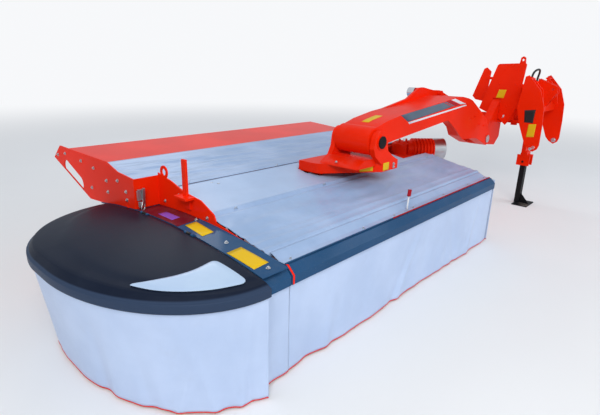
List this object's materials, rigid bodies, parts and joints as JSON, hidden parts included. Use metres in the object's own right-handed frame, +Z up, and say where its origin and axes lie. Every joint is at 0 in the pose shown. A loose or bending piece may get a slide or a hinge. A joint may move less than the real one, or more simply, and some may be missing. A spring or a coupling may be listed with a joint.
{
  "type": "rear mounted disc mower conditioner",
  "caption": "Rear-mounted centre-pivot disc mower conditioner with cloth guards, moulded end cover, steel-finger rotor, folding gooseneck arm and three-point headstock.",
  "frame": {"origin": "centre of the bounding box on the floor, parked in its working position", "axes": "+X along the mower away from the headstock, +Y the way it travels, +Z up"},
  "size_m": [5.6386, 2.487, 1.705],
  "materials": {
    "red_paint": "glossy orange-red paint",
    "cover_red": "glossy orange-red paint with blank stickers",
    "dark_paint": "dark blue-grey paint",
    "black_paint": "black paint",
    "cover_plastic": "moulded black plastic with a slight sheen",
    "insert_plastic": "light grey smooth panel",
    "canvas": "silver-grey coated cloth",
    "curtain": "pale grey coated cloth with a red hem cord",
    "bright_steel": "bare steel",
    "zinc": "zinc plated",
    "rod_chrome": "chromed rod",
    "hose_rubber": "black hose rubber",
    "worn_steel": "worn bare steel"
  },
  "bodies": {
    "headstock": {"headstock_frame": "red_paint", "feed_hose": "hose_rubber", "hitch_pins": "zinc"},
    "stand": {"parking_stand": "black_paint"},
    "turret_body": {"turret": "red_paint", "turret_covers": "cover_red"},
    "cylinder_barrel": {"lift_barrel": "red_paint"},
    "cylinder_rod": {"lift_rod": "rod_chrome"},
    "arm": {"arm_beam": "red_paint", "arm_pins": "zinc"},
    "mower": {"pivot_bracket": "red_paint", "pivot_pin": "zinc", "main_beam": "red_paint", "canvas_frame": "red_paint", "inner_side_plate": "red_paint", "outer_side_plate": "red_paint", "end_strip": "dark_paint", "rear_hood": "red_paint", "front_canvas": "canvas", "mid_canvas": "canvas", "rear_canvas": "canvas", "end_curtains": "curtain", "height_lever": "red_paint", "cutterbar": "black_paint", "skids": "worn_steel", "conditioner_hood": "red_paint", "drive_case": "red_paint", "gearbox": "red_paint", "pto_guard": "zinc"},
    "input": {"input_shaft": "bright_steel"},
    "rotor": {"conditioner_rotor": "black_paint"},
    "front_guard": {"front_bumper": "dark_paint", "front_flap": "canvas", "front_curtain": "curtain"},
    "cover": {"outer_cover": "cover_plastic", "cover_insert": "insert_plastic", "outer_curtain": "curtain"},
    "door_outer": {"swath_door_outer": "red_paint"},
    "door_inner": {"swath_door_inner": "red_paint"},
    "disc_1_body": {"disc_1": "red_paint"},
    "disc_2_body": {"disc_2": "red_paint"},
    "disc_3_body": {"disc_3": "red_paint"},
    "disc_4_body": {"disc_4": "red_paint"},
    "disc_5_body": {"disc_5": "red_paint"},
    "disc_6_body": {"disc_6": "red_paint"},
    "disc_7_body": {"disc_7": "red_paint"}
  },
  "joints": [
    {"name": "safety_swing", "type": "hinge", "parent": "headstock", "child": "turret_body", "pos_m": [-2.29675, 0.7535, 1.165], "axis": [0, 0, -1], "range_deg": [0, 18]},
    {"name": "stand_fold", "type": "hinge", "parent": "headstock", "child": "stand", "pos_m": [-2.29675, 0.9435, 0.52], "axis": [-1, 0, 0], "range_deg": [0, 90]},
    {"name": "arm_fold", "type": "hinge", "parent": "turret_body", "child": "arm", "pos_m": [-1.58675, 0.5685, 0.83], "axis": [0, -1, 0], "range_deg": [0, 90]},
    {"name": "barrel_tilt", "type": "hinge", "parent": "turret_body", "child": "cylinder_barrel", "pos_m": [-2.14675, 0.3235, 0.85], "axis": [0, -1, 0], "range_deg": [0, 75]},
    {"name": "rod_slide", "type": "slide", "parent": "cylinder_barrel", "child": "cylinder_rod", "axis": [0.9568, 0, 0.2907], "range_m": [-0.66, 0]},
    {"name": "mower_pivot", "type": "hinge", "parent": "arm", "child": "mower", "pos_m": [0.61325, 0.5695, 1.03], "axis": [0, -1, 0], "range_deg": [-6, 6]},
    {"name": "input_spin", "type": "hinge", "parent": "mower", "child": "input", "pos_m": [-0.92863, 0.47592, 0.76], "axis": [-0.7547, 0.6561, 0], "continuous": true},
    {"name": "rotor_spin", "type": "hinge", "parent": "mower", "child": "rotor", "pos_m": [0.70725, -0.0765, 0.43], "axis": [1, 0, 0], "continuous": true},
    {"name": "guard_lift", "type": "hinge", "parent": "mower", "child": "front_guard", "pos_m": [0.62625, 0.9835, 0.628], "axis": [1, 0, 0], "range_deg": [0, 95]},
    {"name": "cover_lift", "type": "hinge", "parent": "mower", "child": "cover", "pos_m": [2.17125, 0.3835, 0.69], "axis": [0, -1, 0], "range_deg": [0, 70]},
    {"name": "door_outer_turn", "type": "hinge", "parent": "mower", "child": "door_outer", "pos_m": [1.94325, -0.5415, 0.55], "axis": [0, 0, -1], "range_deg": [-6, 22]},
    {"name": "door_inner_turn", "type": "hinge", "parent": "mower", "child": "door_inner", "pos_m": [-0.53675, -0.5415, 0.55], "axis": [0, 0, 1], "range_deg": [-6, 22]},
    {"name": "disc_1_spin", "type": "hinge", "parent": "mower", "child": "disc_1_body", "pos_m": [2.15525, 0.4735, 0.08], "axis": [0, 0, 1], "continuous": true},
    {"name": "disc_2_spin", "type": "hinge", "parent": "mower", "child": "disc_2_body", "pos_m": [1.72325, 0.4735, 0.08], "axis": [0, 0, 1], "continuous": true},
    {"name": "disc_3_spin", "type": "hinge", "parent": "mower", "child": "disc_3_body", "pos_m": [1.29125, 0.4735, 0.08], "axis": [0, 0, 1], "continuous": true},
    {"name": "disc_4_spin", "type": "hinge", "parent": "mower", "child": "disc_4_body", "pos_m": [0.85925, 0.4735, 0.08], "axis": [0, 0, 1], "continuous": true},
    {"name": "disc_5_spin", "type": "hinge", "parent": "mower", "child": "disc_5_body", "pos_m": [0.42725, 0.4735, 0.08], "axis": [0, 0, 1], "continuous": true},
    {"name": "disc_6_spin", "type": "hinge", "parent": "mower", "child": "disc_6_body", "pos_m": [-0.00475, 0.4735, 0.08], "axis": [0, 0, 1], "continuous": true},
    {"name": "disc_7_spin", "type": "hinge", "parent": "mower", "child": "disc_7_body", "pos_m": [-0.43675, 0.4735, 0.08], "axis": [0, 0, 1], "continuous": true}
  ],
  "couplings": [
    {"joint": "barrel_tilt", "follows": "arm_fold", "ratio": 0.774},
    {"joint": "rod_slide", "follows": "arm_fold", "m_per_rad": -0.413},
    {"joint": "input_spin", "follows": "rotor_spin", "ratio": 1},
    {"joint": "disc_1_spin", "follows": "rotor_spin", "ratio": 3},
    {"joint": "disc_2_spin", "follows": "rotor_spin", "ratio": -3},
    {"joint": "disc_3_spin", "follows": "rotor_spin", "ratio": 3},
    {"joint": "disc_4_spin", "follows": "rotor_spin", "ratio": -3},
    {"joint": "disc_5_spin", "follows": "rotor_spin", "ratio": 3},
    {"joint": "disc_6_spin", "follows": "rotor_spin", "ratio": -3},
    {"joint": "disc_7_spin", "follows": "rotor_spin", "ratio": 3}
  ]
}
